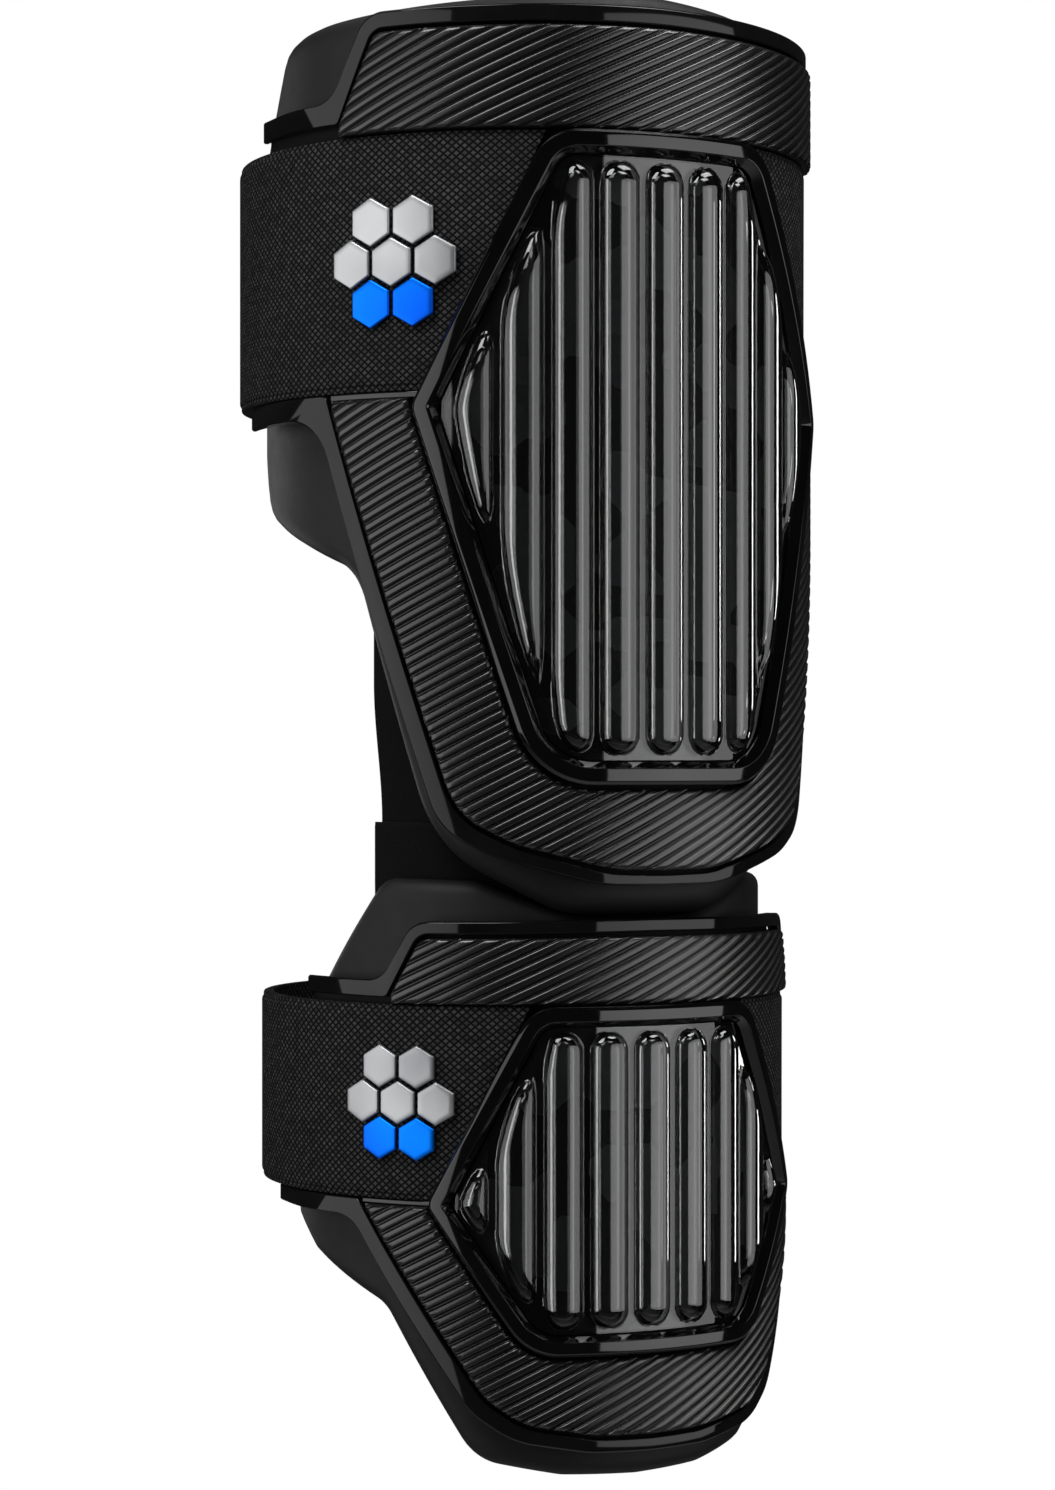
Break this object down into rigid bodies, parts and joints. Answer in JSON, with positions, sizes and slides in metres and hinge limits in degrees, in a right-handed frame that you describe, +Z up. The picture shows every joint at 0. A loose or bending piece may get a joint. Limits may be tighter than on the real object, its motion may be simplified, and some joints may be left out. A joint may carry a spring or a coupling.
{
  "type": "two-piece elbow guard",
  "caption": "Batter's elbow guard of two curved armoured pads with fluted clear windows, straps round the arm and fabric tongues behind the elbow.",
  "frame": {"origin": "on the axis of the arm, at the height of the elbow gap between the two guards", "axes": "+Z up along the upper arm, -Y out of the guard's front, +X to the right of somebody who looks at the front"},
  "size_m": [0.1188, 0.1213, 0.2941],
  "materials": {
    "foam": "moulded foam skin, matte dark grey",
    "shell": "polished black",
    "ribbed_rubber": "satin with fine slanted ribs",
    "strap": "woven elastic with a brick-like texture",
    "fabric": "plain black knit",
    "backing": "dark with faint darker patches",
    "clear": "clear fluted polycarbonate",
    "badge_silver": "satin silver transfer",
    "badge_blue": "satin blue transfer"
  },
  "bodies": {
    "root": {"upper_pad": "foam", "upper_shell": "shell", "upper_rim_top": "shell", "upper_rim_bottom": "shell", "upper_panel_top": "ribbed_rubber", "upper_panel_bottom": "ribbed_rubber", "upper_frame": "shell", "upper_backing": "backing", "upper_window": "clear", "upper_strap": "strap", "upper_badge_cell_1": "badge_silver", "upper_badge_cell_2": "badge_silver", "upper_badge_cell_3": "badge_silver", "upper_badge_cell_4": "badge_silver", "upper_badge_cell_5": "badge_silver", "upper_badge_cell_6": "badge_blue", "upper_badge_cell_7": "badge_blue", "lower_pad": "foam", "lower_shell": "shell", "lower_rim_top": "shell", "lower_rim_bottom": "shell", "lower_panel_top": "ribbed_rubber", "lower_panel_bottom": "ribbed_rubber", "lower_frame": "shell", "lower_backing": "backing", "lower_window": "clear", "lower_strap": "strap", "lower_badge_cell_1": "badge_silver", "lower_badge_cell_2": "badge_silver", "lower_badge_cell_3": "badge_silver", "lower_badge_cell_4": "badge_silver", "lower_badge_cell_5": "badge_silver", "lower_badge_cell_6": "badge_blue", "lower_badge_cell_7": "badge_blue", "tongue_upper": "fabric", "tongue_lower": "fabric"}
  },
  "joints": []
}
